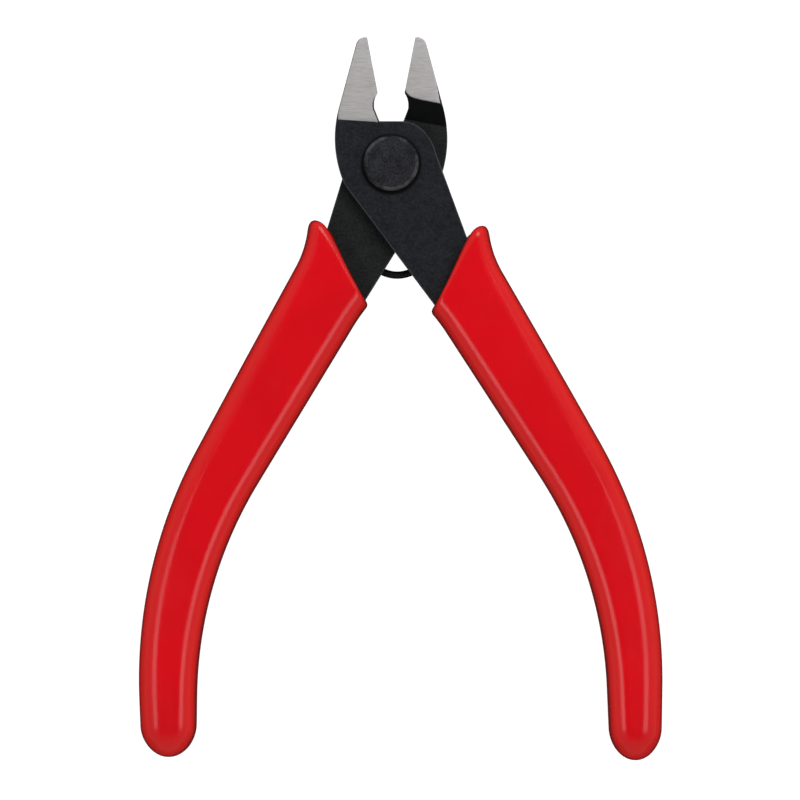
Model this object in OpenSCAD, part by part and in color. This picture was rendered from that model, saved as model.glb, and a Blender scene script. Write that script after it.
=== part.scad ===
// Flush cutter for electronics work: two lapped steel halves on one rivet,
// a hairpin return spring behind them and a moulded sleeve on each handle.
//
// Frame: millimetres. X = Y = 0 is the rivet's axis, +Y runs to the blade tips,
// +Z is the front, and z = 0 is the bench that the tool lies on.
// Each half is drawn with its blades shut on the plane X = 0, with its jaw at -X
// and its handle at +X. rest_front() and rest_rear() then open the tool.

/* [Opening] */
// Angle between the two blade edges when the spring holds the tool open
open_angle = 21.6; // [14:0.2:26]

/* [Plates] */
// Thickness of each half where they lap over one another
plate_t = 2.5; // [2:0.1:3]
// Gap between the two lapped faces
lap_gap = 0.04; // [0.02:0.01:0.1]
// Radius of the round boss about the rivet
boss_r = 8; // [7:0.1:9]
// Distance from the rivet's axis to the inner side of each shank
shoulder_r = 8.75; // [8:0.05:9.6]
// Distance from the rivet's axis to the throat between the jaws
throat_y = 7.35; // [6.2:0.1:7.6]

/* [Jaws] */
// Distance from the rivet's axis to the blade tips
jaw_reach = 22.6; // [19:0.1:28]
// Radius of the rounded tips
tip_r = 1.6; // [1:0.1:2]
// Lean of each jaw's outer side
jaw_lean = 25; // [21:0.5:27]
// Half width of the closed jaws at their widest
jaw_half_w = 9.2; // [8.8:0.1:10.5]
// Radius of the bulge from the jaw's side into the boss
jaw_side_r = 20; // [16:1:30]
// Length of each cutting edge
blade_len = 10.1; // [8:0.1:11]
// Depth of the relief notch behind each cutting edge
notch_depth = 1.1; // [0.6:0.1:1.6]
// Angle between the edge's bevel and the tool's thickness
bevel_angle = 28; // [20:1:35]
// Slope of the ground faces towards the tips
grind_slope = 5; // [3:0.25:6]
// Turn of the line where the ground faces start
grind_skew = 14.4; // [8:0.2:20]
// Distance from the rivet's axis to the start of the ground faces
grind_y = 7.3; // [7.2:0.1:9]
// Clearance between a jaw's ramp and the other half's boss
ramp_clear = 0.2; // [0.15:0.05:0.5]
// Length of the ramp from a lapped face up to the jaw's full thickness
ramp_len = 4.4; // [3.5:0.1:5.5]

/* [Shanks] */
// Lean of the front half's outer shank side
front_outer_lean = 9.4; // [6:0.2:11]
// Distance of that side from the rivet's axis
front_outer_d = 7.95; // [7:0.05:8.8]
// Lean of the front half's inner shank side
front_inner_lean = 26; // [23:0.2:28]
// Lean of the rear half's outer shank side
rear_outer_lean = 6.1; // [4:0.1:9]
// Distance of that side from the rivet's axis
rear_outer_d = 7.45; // [7:0.05:8.4]
// Lean of the rear half's inner shank side
rear_inner_lean = 21.1; // [19:0.1:24]
// Distance from the rivet's axis at which a shank narrows to its tang
shank_len = 34; // [30:0.5:40]

/* [Handles] */
// Lean of the right handle with the blades shut
right_lean = 20.5; // [17:0.1:22]
// Sideways shift of the right handle from the rivet's axis
right_shift = -0.15; // [-2:0.05:1]
// Lean of the left handle with the blades shut
left_lean = 18.95; // [16:0.05:21]
// Sideways shift of the left handle from the rivet's axis
left_shift = -1.4; // [-2:0.05:1]
// Distance from the rivet's axis to where the handles begin to curve
bend_start = 60.1; // [52:0.1:68]
// Radius of the handles' curve
bend_r = 79; // [65:1:110]
// Angle that the handles turn through in that curve
bend_angle = 30.5; // [20:0.5:40]
// Width of a tang where it leaves its shank
tang_w = 6.4; // [5:0.1:7]
// Width of a tang at its end
tang_end_w = 4.6; // [3.6:0.1:5.5]

/* [Sleeves] */
// Thickness of the sleeves, which lie flat on the bench
sleeve_t = 9.2; // [8.4:0.1:11]
// Width of a sleeve at its mouth
sleeve_w = 14.2; // [13.6:0.1:16]
// Width of the right sleeve at its end
right_end_w = 8.9; // [8.5:0.1:11]
// Width of the left sleeve at its end
left_end_w = 9.5; // [8.5:0.1:11]
// Length of the right sleeve along its inner side
right_len = 89.8; // [75:0.1:105]
// Length of the left sleeve along its inner side
left_len = 89.8; // [75:0.1:105]
// Distance from the rivet's axis to the right sleeve's inner corner
right_mouth = 25.3; // [24:0.1:28]
// Distance from the rivet's axis to the left sleeve's inner corner
left_mouth = 23; // [22.5:0.1:28]
// How far a sleeve's mouth reaches up its outer side
mouth_rise = 8.2; // [6:0.1:10]
// How far the mouth bows forward between its corners
mouth_bow = 1.35; // [0:0.05:2]
// How far the finger guard stands out from a sleeve's side
guard_out = 2.1; // [0.6:0.1:2.5]
// Length of the finger guard's flare
guard_len = 8.7; // [6:0.1:12]
// How far the mouth's edge falls away at its outer corner, which rounds the guard's top
guard_fall = 0.8; // [0:0.1:2]
// How far the mouth's inner corner stands out
corner_out = 0.4; // [0:0.1:1]
// Length of that corner's flare
corner_len = 5; // [3:0.5:10]
// Radius of a sleeve's shoulders
shoulder_round = 3.6; // [2:0.1:4.2]
// Rounding of a sleeve's mouth
lip_round = 1.1; // [0.6:0.1:1.5]
// Length over which a sleeve's end comes down to the bench and the other face
dome_len = 8; // [6:0.5:14]
// Length of the rounding of its end as seen from the front
end_round = 5.6; // [4:0.1:6]
// Solid plastic between a tang's end and its sleeve's end
end_wall = 14; // [8:0.5:20]

/* [Rivet] */
// Radius of the rivet's shank
rivet_r = 3; // [2.4:0.1:3.6]
// Running clearance of the rear half on the rivet
rivet_clear = 0.05; // [0.02:0.01:0.08]
// Radius of the rivet's front head
head_r = 4.8; // [4.2:0.1:5.6]
// Height of the front head
head_h = 1.2; // [0.8:0.1:2]
// Chamfer round the front head
head_chamfer = 0.35; // [0.1:0.05:0.5]
// Radius of the formed tail behind the rear half
tail_r = 4; // [3.6:0.1:4.4]
// Height of the formed tail
tail_h = 1.1; // [0.8:0.05:1.4]

/* [Spring] */
// Diameter of the spring wire
wire_d = 1.3; // [1:0.05:1.4]
// Gap between the wire and the back of the rear half
wire_gap = 0.1; // [0.05:0.05:0.2]
// Radius of the spring's bow, to the middle of the wire
bow_r = 5.9; // [5.6:0.1:6.4]
// Distance from the rivet's axis to the lowest point of the bow
bow_reach = 19.4; // [18.5:0.1:21]
// Turn of the spring about the rivet
bow_turn = 4.5; // [0:0.5:6]
// Sideways place of each anchor hole, with the blades shut
anchor_x = 4.9; // [4.6:0.1:5.6]
// Distance of each anchor hole from the rivet's axis, along the tool
anchor_y = 10.4; // [9.8:0.1:11]
// Clearance round the wire in its anchor hole
anchor_clear = 0.1; // [0.05:0.05:0.2]
// Bend radius of the wire where it turns into its hole
hook_r = 1; // [0.8:0.1:1.2]
// Solid steel left in front of an anchor hole
anchor_floor = 1.2; // [0.8:0.1:1.6]

/* [Hidden] */
$fn = 96;
steel_colour = [0.14, 0.145, 0.155];
wire_colour = [0.07, 0.07, 0.075];
sleeve_colour = [0.86, 0.08, 0.11];
far = 60;                     // longer than any cutter needs to be
mid_z = sleeve_t / 2;         // the lapped faces lie at the sleeves' middle
front_z = mid_z + plate_t;
back_z = mid_z - plate_t;
wire_r = wire_d / 2;
wire_z = back_z - wire_gap - wire_r;
seam_w = 0.02;
jaw_side_y = 2.4;             // height at which the jaws are widest
jaw_side_drop = 2;            // how far below the axis their sides' bulge runs
notch_r = 3.6;
notch_y = jaw_reach - blade_len - 2.6;
ramp_foot = boss_r + ramp_clear;
strip_steps = 26;

// ---- plan shapes of one half, with the blades shut -------------------------

// a point on the side line that leans by a from the tool's length, d from the axis, v along it
function side_pt(d, a, v) = [d * cos(a) + v * sin(a), d * sin(a) - v * cos(a)];
function inner_pt(d, a, v) = [-d * cos(a) + v * sin(a), -d * sin(a) - v * cos(a)];
function arc(c, r, a0, a1, n) = [for (i = [0:n]) let (t = a0 + (a1 - a0) * i / n) c + r * [cos(t), sin(t)]];

module jaw_plan(inner_lean) {
    out = 180 - jaw_lean;
    // the tip's circle sits so that its top is at the reach, clear of the cutting edge
    tip = [-0.4 * tip_r, jaw_reach - tip_r];
    side = [jaw_side_r - jaw_half_w, jaw_side_y];
    difference() {
        polygon(concat(
            [[0, 0], [0, tip.y + sqrt(tip_r ^ 2 - tip.x ^ 2)]],
            arc(tip, tip_r, acos(-tip.x / tip_r), out, 12),
            arc(side, jaw_side_r, out, 180 + asin((jaw_side_y + jaw_side_drop) / jaw_side_r), 18),
            [inner_pt(shoulder_r, inner_lean, 0)]
        ));
        translate([notch_r - notch_depth, notch_y]) circle(notch_r);
        // the notch runs straight down into the throat
        polygon([[1, notch_y], [-notch_depth, notch_y], [-0.6, throat_y], [1, throat_y]]);
    }
}

module plate_plan(outer_lean, outer_d, inner_lean) {
    difference() {
        circle(boss_r);
        rotate(-open_angle / 2) translate([-far / 2, throat_y]) square(far);
    }
    polygon([
        [0, 0],
        side_pt(outer_d, outer_lean, 0),
        side_pt(outer_d, outer_lean, shank_len),
        inner_pt(shoulder_r, inner_lean, shank_len),
        inner_pt(shoulder_r, inner_lean, 0)
    ]);
}

// ---- handle axis: straight down from the rivet, an arc, then straight again -

function axis_turn(s) = min(bend_angle, max(0, (s - bend_start) / bend_r * 180 / PI));
function axis_pt(s) = let (
    t = axis_turn(s),
    past = max(0, s - bend_start - bend_r * bend_angle * PI / 180)
) [
    -bend_r * (1 - cos(t)) - past * sin(t),
    -min(s, bend_start) - bend_r * sin(t) - past * cos(t)
];
// the point n to the outer side of the axis, s along it
function beside(s, n) = axis_pt(s) + n * [cos(axis_turn(s)), -sin(axis_turn(s))];

function tang_half(s, end) = (tang_w + (tang_end_w - tang_w) * (s - shank_len) / (end - shank_len)) / 2;

module tang_plan(end) {
    s0 = shank_len - 8;
    s1 = end - tang_end_w / 2;
    steps = [for (i = [0:strip_steps]) s0 + (s1 - s0) * i / strip_steps];
    polygon(concat(
        [for (s = steps) beside(s, -tang_half(s, end))],
        [for (i = [strip_steps:-1:0]) beside(steps[i], tang_half(steps[i], end))]
    ));
    translate(axis_pt(s1)) circle(tang_half(s1, end));
}

module on_handle(lean, shift) rotate([0, 0, lean]) translate([shift, 0, 0]) children();

// ---- one steel half ---------------------------------------------------------

// Everything in front of a ground face, for the front (side 1) or the back (side -1)
module grind_cut(side) {
    translate([0, 0, mid_z]) mirror([0, 0, side > 0 ? 0 : 1])
        translate([0, grind_y, plate_t]) rotate([0, 0, -grind_skew]) rotate([-grind_slope, 0, 0])
            translate([-far / 2, -far / 4, 0]) cube([far, far, far / 4]);
}

// The relief behind the cutting edge, which lies in the ground face on the named side
module bevel_cut(side) {
    edge_fall = atan(tan(grind_slope) * cos(grind_skew));
    translate([0, 0, mid_z]) mirror([0, 0, side > 0 ? 0 : 1])
        translate([0, grind_y, plate_t]) rotate([-edge_fall, 0, 0])
            translate([0, notch_y + notch_r / 2 - grind_y + far / 2, 0]) rotate([90, 0, 0])
                linear_extrude(far / 2) polygon([
                    [0, 0], [-far / 8 * tan(bevel_angle), -far / 8], [far / 8, -far / 8], [far / 8, 0]
                ]);
}

// The ramp on the lapped side, from the lapped face out to the jaw's full thickness
module ramp_cut() {
    rise = plate_t / ramp_len;
    translate([-far / 2, 0, 0]) rotate([90, 0, 90]) linear_extrude(far) polygon([
        [0, mid_z], [ramp_foot, mid_z], [ramp_foot + 2 * ramp_len, mid_z - 2 * rise * ramp_len], [0, -far / 4]
    ]);
}

module half(outer_lean, outer_d, inner_lean, lean, shift, tang_end, edge_side, bore_r, floor_z) {
    difference() {
        union() {
            translate([0, 0, mid_z + lap_gap / 2]) linear_extrude(plate_t - lap_gap / 2) {
                plate_plan(outer_lean, outer_d, inner_lean);
                on_handle(lean, shift) tang_plan(tang_end);
                jaw_plan(inner_lean);
            }
            difference() {
                translate([0, 0, back_z]) linear_extrude(2 * plate_t) intersection() {
                    jaw_plan(inner_lean);
                    translate([-far / 2, ramp_foot]) square(far);
                }
                ramp_cut();
            }
        }
        grind_cut(1);
        grind_cut(-1);
        bevel_cut(edge_side);
        translate([0, 0, -1]) cylinder(h = far, r = bore_r);
        anchor_hole(floor_z);
    }
}

module anchor_hole(floor_z) {
    translate([-anchor_x, anchor_y, floor_z - far]) cylinder(h = far, r = wire_r + anchor_clear, $fn = 32);
}

// ---- placing the halves at rest ---------------------------------------------

module rest_front() rotate([0, 0, open_angle / 2]) children();

// the rear half is turned over about the tool's length
module turn_over() translate([0, 0, mid_z]) rotate([0, 180, 0]) translate([0, 0, -mid_z]) children();
module rest_rear() rotate([0, 0, -open_angle / 2]) turn_over() children();

// tops of the front half's anchor hole, and of the rear half's before that is turned over
anchor_depth_z = front_z - anchor_floor - (anchor_y - grind_y) * tan(grind_slope);
rear_hole_z = mid_z - (anchor_y - ramp_foot) * plate_t / ramp_len + anchor_floor;

module front_blade() color(steel_colour) rest_front()
    half(front_outer_lean, front_outer_d, front_inner_lean, right_lean, right_shift,
        right_mouth + right_len - end_wall, 1, rivet_r, anchor_depth_z);

module rear_blade() color(steel_colour) rest_rear()
    difference() {
        half(rear_outer_lean, rear_outer_d, rear_inner_lean, left_lean, left_shift,
            left_mouth + left_len - end_wall, -1, rivet_r + rivet_clear, -far);
        // from behind, this half's hole is drilled from its plate side
        translate([-anchor_x, anchor_y, rear_hole_z]) cylinder(h = far, r = wire_r + anchor_clear, $fn = 32);
    }

// ---- rivet --------------------------------------------------------------------

module pivot_rivet() color(steel_colour) rotate_extrude() polygon([
    [0, back_z - rivet_clear - tail_h],
    [tail_r - head_chamfer, back_z - rivet_clear - tail_h],
    [tail_r, back_z - rivet_clear - tail_h + head_chamfer],
    [tail_r, back_z - rivet_clear],
    [rivet_r, back_z - rivet_clear],
    [rivet_r, front_z],
    [head_r, front_z],
    [head_r, front_z + head_h - head_chamfer],
    [head_r - head_chamfer, front_z + head_h],
    [0, front_z + head_h]
]);

// ---- return spring ---------------------------------------------------------

// The left anchor's place at rest, seen in the spring's own turned frame
function turned(p, a) = [p.x * cos(a) - p.y * sin(a), p.x * sin(a) + p.y * cos(a)];
bow_c = [0, bow_r - bow_reach];
left_anchor = turned([-anchor_x, anchor_y], open_angle / 2 - bow_turn);
right_anchor = turned([anchor_x, anchor_y], -open_angle / 2 - bow_turn);

// angle about the bow's centre at which the line to the anchor leaves the bow, side -1 left or 1 right
function leave_angle(p, side) = atan2(p.y - bow_c.y, p.x - bow_c.x) - side * acos(bow_r / norm(p - bow_c));

module wire_round() circle(wire_r, $fn = 32);

// one straight leg from the bow to the hook, then the hook into the hole at p, up to top_z;
// a hair-thin collar covers the seam where it leaves the bow
module spring_leg(p, side, top_z) {
    a = leave_angle(p, side);
    start = bow_c + bow_r * [cos(a), sin(a)];
    run = norm(p - start);
    translate([start.x, start.y, wire_z]) rotate([0, 0, atan2(p.y - start.y, p.x - start.x)]) {
        rotate([0, 90, 0]) cylinder(h = seam_w, r = wire_r + seam_w / 4, center = true, $fn = 32);
        rotate([0, 90, 0]) cylinder(h = run - hook_r, r = wire_r, $fn = 32);
        translate([run - hook_r, 0, hook_r]) rotate([90, 0, 0]) rotate([0, 0, -90])
            rotate_extrude(angle = 90) translate([hook_r, 0]) wire_round();
        translate([run, 0, hook_r]) cylinder(h = top_z - wire_z - hook_r, r = wire_r, $fn = 32);
    }
}

module return_spring() color(wire_colour) rotate([0, 0, bow_turn]) {
    a0 = leave_angle(left_anchor, -1);
    a1 = leave_angle(right_anchor, 1);
    translate([bow_c.x, bow_c.y, wire_z]) rotate([0, 0, a0])
        rotate_extrude(angle = a1 + 360 - a0) translate([bow_r, 0]) wire_round();
    spring_leg(left_anchor, -1, anchor_depth_z);
    spring_leg(right_anchor, 1, 2 * mid_z - rear_hole_z);
}

// ---- sleeves -------------------------------------------------------------------

corner_steps = 6;
body_rings = 26;
lip_rings = 4;
dome_rings = 9;
dome_power = 2.4;             // above 2 the end is blunter than an ellipse
slant_len = 26;               // way along the handle over which the mouth's slant fades out
guard_share = 0.22;           // share of the mouth's width that its fall takes

function sleeve_half(s, mouth, len, end_w) = (sleeve_w + (end_w - sleeve_w) * (s - mouth) / len) / 2;
// the mouth's slant and bow fade out over the straight part of the handle
function fade(s, mouth) = max(0, 1 - (s - mouth) / slant_len) ^ 2;
function corner(s, mouth) = corner_out * max(0, 1 - (s - mouth) / corner_len) ^ 2;
// the finger guard's flare, at its greatest where the outer side ends
function guard(s, mouth) = guard_out * min(1, max(0, (mouth - mouth_rise + guard_len - s) / guard_len)) ^ 2;
// how far the mouth's edge falls at the share f of its width: a quarter of an ellipse at the outer end
function mouth_fall(f) = guard_fall * (1 - sqrt(1 - min(1, max(0, 1 - (1 - f) / guard_share)) ^ 2));
// how a section shrinks at the mouth's lip, and from 1 to 0 over the last part of its length
function lip_in(k) = lip_round * (1 - sin(90 * k / lip_rings));
function lip_s(k) = lip_round * (1 - cos(90 * k / lip_rings));
function dome(s, end, over, power) = (1 - max(0, (s - end + over) / over) ^ power) ^ (1 / power);

// one ring round the sleeve: s along the axis, inset from the skin, mouth, length and end width
function ring(s, inset, mouth, len, end_w) = let (
    d = dome(s, mouth + len, end_round, 2),
    so = s - mouth_rise * fade(s, mouth),
    wi = d * (sleeve_half(s, mouth, len, end_w) + corner(s, mouth)) - inset,
    wo = d * (sleeve_half(so, mouth, len, end_w) + guard(so, mouth)) - inset,
    a = beside(s, -wi),
    b = beside(so, wo),
    hw = norm(b - a) / 2,
    hh = dome(s, mouth + len, dome_len, dome_power) * sleeve_t / 2 - inset,
    r = min(shoulder_round, hw, hh) * 0.999
) [for (q = [0:3], i = [0:corner_steps]) let (
        t = 90 * q + 90 * i / corner_steps,
        x = (q == 0 || q == 3 ? 1 : -1) * (hw - r) + r * cos(t),
        z = (q < 2 ? 1 : -1) * (hh - r) + r * sin(t),
        f = (1 + x / hw) / 2,
        p = a + (b - a) * f + [0, (mouth_bow * sin(180 * f ^ 2) - mouth_fall(f)) * fade(s, mouth)]
    ) [p.x, p.y, mid_z + z]];

module sleeve_solid(mouth, len, end_w) {
    end = mouth + len;
    ring_s = concat(
        [for (k = [0:lip_rings]) [mouth + lip_s(k), lip_in(k)]],
        [for (k = [1:body_rings]) [mouth + lip_round + (len - dome_len - lip_round) * k / body_rings, 0]],
        [for (k = [1:dome_rings]) [end - dome_len * (1 - sin(89 * k / dome_rings)), 0]]
    );
    n = 4 * (corner_steps + 1);
    m = len(ring_s);
    points = [for (v = ring_s) each ring(v[0], v[1], mouth, len, end_w)];
    // both ends are closed by upright strips, each from the ring's top to its bottom
    polyhedron(points, concat(
        [for (i = [0:n / 2 - 2]) [i, i + 1, n - 2 - i, n - 1 - i]],
        [for (k = [0:m - 2], i = [0:n - 1])
            [k * n + i, (k + 1) * n + i, (k + 1) * n + (i + 1) % n, k * n + (i + 1) % n]],
        [for (i = [0:n / 2 - 2]) (m - 1) * n * [1, 1, 1, 1] + [n - 1 - i, n - 2 - i, i + 1, i]]
    ), convexity = 6);
}

module sleeve(outer_lean, outer_d, inner_lean, lean, shift, mouth, len, end_w) {
    difference() {
        on_handle(lean, shift) sleeve_solid(mouth, len, end_w);
        // the socket is the steel's own outline, because the sleeve is moulded on
        translate([0, 0, mid_z + lap_gap / 2]) linear_extrude(plate_t - lap_gap / 2) {
            plate_plan(outer_lean, outer_d, inner_lean);
            on_handle(lean, shift) tang_plan(mouth + len - end_wall);
        }
    }
}

module right_grip() color(sleeve_colour) rest_front()
    sleeve(front_outer_lean, front_outer_d, front_inner_lean, right_lean, right_shift,
        right_mouth, right_len, right_end_w);

module left_grip() color(sleeve_colour) rest_rear()
    sleeve(rear_outer_lean, rear_outer_d, rear_inner_lean, left_lean, left_shift,
        left_mouth, left_len, left_end_w);

front_blade();
rear_blade();
pivot_rivet();
return_spring();
right_grip();
left_grip();
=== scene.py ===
"""The looks of a flush cutter: two lapped steel halves, a rivet, a hairpin spring and two red sleeves.

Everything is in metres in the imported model's frame: x = y = 0 is the rivet's axis, +Y runs to the
blade tips and z = 0 is the bench. Each steel half is worked out with its blades shut, with its jaw at
-X and its handle at +X, and then turned to where it stands with the tool open.
"""
import logging
import math
from collections.abc import Sequence
from dataclasses import dataclass
from enum import Enum

import bmesh
import bpy
import numpy as np
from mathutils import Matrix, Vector


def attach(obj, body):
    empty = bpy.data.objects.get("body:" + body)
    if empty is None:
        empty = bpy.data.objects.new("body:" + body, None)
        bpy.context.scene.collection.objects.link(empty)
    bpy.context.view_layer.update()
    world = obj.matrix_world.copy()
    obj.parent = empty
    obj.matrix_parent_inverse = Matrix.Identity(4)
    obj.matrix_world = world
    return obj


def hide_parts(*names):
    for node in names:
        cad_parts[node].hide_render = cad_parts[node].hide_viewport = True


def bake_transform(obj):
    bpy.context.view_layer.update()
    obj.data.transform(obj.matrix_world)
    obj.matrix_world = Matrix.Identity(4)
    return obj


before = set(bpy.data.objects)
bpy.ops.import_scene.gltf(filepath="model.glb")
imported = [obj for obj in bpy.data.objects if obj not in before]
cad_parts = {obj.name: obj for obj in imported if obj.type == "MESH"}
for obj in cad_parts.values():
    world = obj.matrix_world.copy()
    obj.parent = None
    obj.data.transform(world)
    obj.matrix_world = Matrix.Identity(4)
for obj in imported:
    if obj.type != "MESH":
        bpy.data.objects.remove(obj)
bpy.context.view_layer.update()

MM = 0.001
OPENING = math.radians(21.6)
MERGE = 1e-7
log = logging.getLogger("flush_cutter")


class Half(Enum):
    """The two steel halves: the one in front, whose handle is on the right, and the one behind it."""

    FRONT = "front_half"
    REAR = "rear_half"


class Side(Enum):
    """A face of a steel half as it is drawn: its outer plate face, or the face that laps the other."""

    PLATE = 1
    LAP = -1


# ---- arrays and meshes -----------------------------------------------------------------------------


def sine_cosine(angle: np.ndarray | float) -> tuple[np.ndarray, np.ndarray]:
    """Returns the sine and cosine of an angle in degrees."""
    return np.sin(np.radians(angle)), np.cos(np.radians(angle))


def arc(centre: Sequence[float], radius: float, start: float, stop: float, steps: int) -> np.ndarray:
    """Points on an arc: the centre plus the radius times (cosine, sine) of an even run of angles.

    Args:
        centre: Middle of the arc.
        radius: Its radius.
        start: First angle in degrees.
        stop: Last angle in degrees.
        steps: Number of equal steps between them.

    Returns:
        An array of steps + 1 points of two coordinates.
    """
    sine, cosine = sine_cosine(np.linspace(start, stop, steps + 1))
    return np.asarray(centre) + radius * np.stack([cosine, sine], axis=1)


def lengths(line: np.ndarray) -> np.ndarray:
    """Returns how far along a polyline each of its points lies."""
    return np.concatenate([[0.0], np.cumsum(np.linalg.norm(np.diff(line, axis=0), axis=1))])


def resample(line: np.ndarray, steps: int) -> np.ndarray:
    """Returns steps + 1 points spread evenly along a polyline."""
    along = lengths(line)
    wanted = np.linspace(0.0, along[-1], steps + 1)
    return np.stack([np.interp(wanted, along, line[:, i]) for i in range(line.shape[1])], axis=1)


def left_normals(line: np.ndarray) -> np.ndarray:
    """Returns unit normals on the left of a polyline: its central differences, turned a quarter turn."""
    run = np.gradient(line, axis=0)
    turned = np.stack([-run[:, 1], run[:, 0]], axis=1)
    return turned / np.maximum(np.linalg.norm(turned, axis=1, keepdims=True), 1e-12)


def smooth_step(value: np.ndarray) -> np.ndarray:
    """Returns 3v^2 - 2v^3 with v held between 0 and 1."""
    v = np.clip(value, 0.0, 1.0)
    return v * v * (3 - 2 * v)


def soft_lower(a: np.ndarray, b: np.ndarray, blend: float) -> np.ndarray:
    """Returns the lower of two heights, rounded where they meet: (a + b - root((a-b)^2 + blend^2)) / 2."""
    return 0.5 * (a + b - np.sqrt((a - b) ** 2 + blend**2))


def turn(points: np.ndarray, angle: float) -> np.ndarray:
    """Turns points about the Z axis by an angle in radians.

    Args:
        points: Points with x and y first.
        angle: How far to turn them, anticlockwise.

    Returns:
        The turned points, in a new array.
    """
    c, s = math.cos(angle), math.sin(angle)
    turned = points.copy()
    turned[..., 0] = c * points[..., 0] - s * points[..., 1]
    turned[..., 1] = s * points[..., 0] + c * points[..., 1]
    return turned


def stand_open(points: np.ndarray, half: Half, mid_z: float) -> np.ndarray:
    """Puts a half, drawn with the blades shut and z = 0 between the lapped faces, where it stands.

    The rear half is turned over about the tool's length first. Then each turns by half the opening.

    Args:
        points: Points with x, y and z last.
        half: Which half they belong to.
        mid_z: Height of the lapped faces above the bench.

    Returns:
        The points in the tool's frame.
    """
    if half is Half.REAR:
        points = points * np.array([-1.0, 1.0, -1.0])
    placed = turn(points, OPENING / 2 if half is Half.FRONT else -OPENING / 2)
    placed[..., 2] += mid_z
    return placed


def tube_faces(rings: int, around: int) -> np.ndarray:
    """Faces between neighbouring rings of points that each close on themselves."""
    k, i = np.meshgrid(np.arange(rings - 1) * around, np.arange(around), indexing="ij")
    j = (i + 1) % around
    return np.stack([k + i, k + around + i, k + around + j, k + j], axis=-1).reshape(-1, 4)


def add_object(name: str, data: bpy.types.ID) -> bpy.types.Object:
    """Puts a mesh, light or camera into the scene as a new object at the origin."""
    made = bpy.data.objects.new(name, data)
    bpy.context.scene.collection.objects.link(made)
    return made


@dataclass
class Surface:
    """Points, faces and named values at the points, on their way into a Blender object."""

    points: np.ndarray
    faces: list[list[int]]
    values: dict[str, np.ndarray]

    @classmethod
    def from_rings(cls, grid: np.ndarray, values: dict[str, np.ndarray], caps: bool = True) -> "Surface":
        """Joins rings into a closed skin, each end closed by a fan about its ring's middle.

        Args:
            grid: Points as (ring, place in the ring, coordinate).
            values: Values at those points by name, as (ring, place).
            caps: False where the end rings close on themselves, once merged.

        Returns:
            The surface, which faces outward where the rings turn left about their way forward.
        """
        rings, around, _ = grid.shape
        faces = tube_faces(rings, around).tolist()
        points = grid.reshape(-1, 3)
        flat = {name: value.reshape(-1) for name, value in values.items()}
        if caps:
            points = np.vstack([points, grid[0].mean(axis=0), grid[-1].mean(axis=0)])
            middles = {name: [value[0].mean(), value[-1].mean()] for name, value in values.items()}
            flat = {name: np.concatenate([value, middles[name]]) for name, value in flat.items()}
            first, last = rings * around, rings * around + 1
            i = np.arange(around)
            j = (i + 1) % around
            base = (rings - 1) * around
            faces += np.stack([np.full(around, first), i, j], axis=1).tolist()
            faces += np.stack([np.full(around, last), base + j, base + i], axis=1).tolist()
        return cls(points, faces, flat)

    def build(self, name: str) -> bpy.types.Object:
        """Makes the object: merges points that coincide and faces the skin outward.

        Args:
            name: The piece's name.

        Returns:
            The new object, at the origin.
        """
        mesh = bpy.data.meshes.new(name)
        mesh.from_pydata(self.points.tolist(), [], self.faces)
        for key, value in self.values.items():
            mesh.attributes.new(key, "FLOAT", "POINT").data.foreach_set("value", value.astype(np.float32))
        work = bmesh.new()
        work.from_mesh(mesh)
        bmesh.ops.remove_doubles(work, verts=work.verts, dist=MERGE)
        bmesh.ops.dissolve_degenerate(work, edges=work.edges, dist=MERGE)
        bmesh.ops.recalc_face_normals(work, faces=work.faces)
        open_edges = sum(not edge.is_manifold for edge in work.edges)
        work.to_mesh(mesh)
        work.free()
        mesh.polygons.foreach_set("use_smooth", np.ones(len(mesh.polygons), bool))
        piece = add_object(name, mesh)
        counts = (len(mesh.vertices), len(mesh.polygons), open_edges)
        log.info("%s: %d points, %d faces, %d open edges", name, *counts)
        return piece


# ---- shader expressions ----------------------------------------------------------------------------


class Expr:
    """A shader value: arithmetic on it adds Math nodes to its graph."""

    def __init__(self, graph: "Graph", made: bpy.types.Node, output: str | int) -> None:
        """Wraps one output of a node, or the node alone where it has no outputs."""
        self.graph = graph
        self.socket = made.outputs[output] if len(made.outputs) else None

    def math(self, operation: str, *others: "Expr | float") -> "Expr":
        """Adds one Math node of that operation with this value first."""
        values = dict(enumerate((self, *others)))
        return self.graph.node("ShaderNodeMath", {"operation": operation}, values)

    def __add__(self, other: "Expr | float") -> "Expr":
        """Sum."""
        return self.math("ADD", other)

    def __radd__(self, other: float) -> "Expr":
        """Sum with a number first."""
        return self.math("ADD", other)

    def __sub__(self, other: "Expr | float") -> "Expr":
        """Difference."""
        return self.math("SUBTRACT", other)

    def __rsub__(self, other: float) -> "Expr":
        """A number less this value."""
        return self.graph.node("ShaderNodeMath", {"operation": "SUBTRACT"}, {0: other, 1: self})

    def __mul__(self, other: "Expr | float") -> "Expr":
        """Product."""
        return self.math("MULTIPLY", other)

    def __rmul__(self, other: float) -> "Expr":
        """Product with a number first."""
        return self.math("MULTIPLY", other)

    def __pow__(self, other: float) -> "Expr":
        """Power."""
        return self.math("POWER", other)

    def __or__(self, other: "Expr | float") -> "Expr":
        """The greater of the two, as a mask that is one or the other."""
        return self.math("MAXIMUM", other)

    def __abs__(self) -> "Expr":
        """Size without sign."""
        return self.math("ABSOLUTE")

    def between(self, low: float, high: float) -> "Expr":
        """0 where this value is at low or beyond, 1 at high or beyond, and smooth between them."""
        settings = {"interpolation_type": "SMOOTHSTEP"}
        inputs = {"Value": self, "From Min": low, "From Max": high}
        return self.graph.node("ShaderNodeMapRange", settings, inputs)


Colour = tuple[float, float, float]


def scaled(colour: Colour, factor: float) -> Colour:
    """Returns a colour with each of its parts times a factor."""
    return tuple(factor * part for part in colour)


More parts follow.
